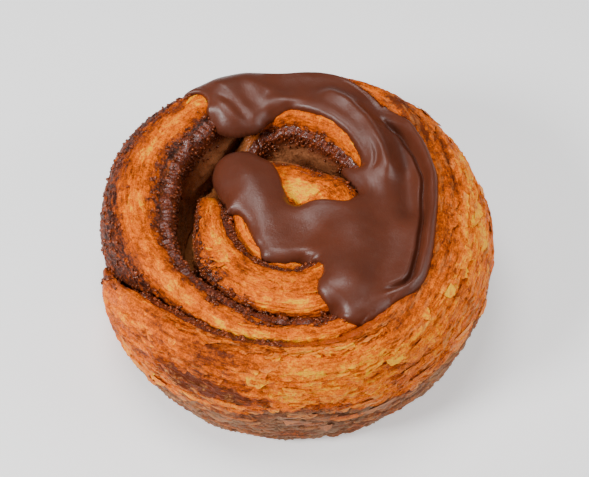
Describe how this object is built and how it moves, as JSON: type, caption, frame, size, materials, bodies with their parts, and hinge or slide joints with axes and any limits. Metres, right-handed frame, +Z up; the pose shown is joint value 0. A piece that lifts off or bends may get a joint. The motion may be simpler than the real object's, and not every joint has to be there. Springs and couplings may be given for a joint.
{
  "type": "danish pastry",
  "caption": "Round cinnamon swirl danish: a wound strip of laminated dough with dark cinnamon sugar between its turns, an open crescent hollow, and thick chocolate icing over back and right.",
  "frame": {"origin": "centre of the bounding box in plan, on the flat underside that rests on the table", "axes": "+Z up from the table, -Y towards the front of the pastry as pictured, +X to its right"},
  "size_m": [0.1066, 0.1036, 0.0438],
  "materials": {
    "baked_dough": "baked laminated dough, golden to dark brown, slightly shiny",
    "cinnamon_sugar": "sticky dark cinnamon sugar, grainy and wet-looking",
    "chocolate_icing": "set chocolate icing, smooth satin brown"
  },
  "bodies": {
    "root": {"dough_spiral": "baked_dough", "cinnamon_filling": "cinnamon_sugar", "chocolate_icing": "chocolate_icing"}
  },
  "joints": []
}
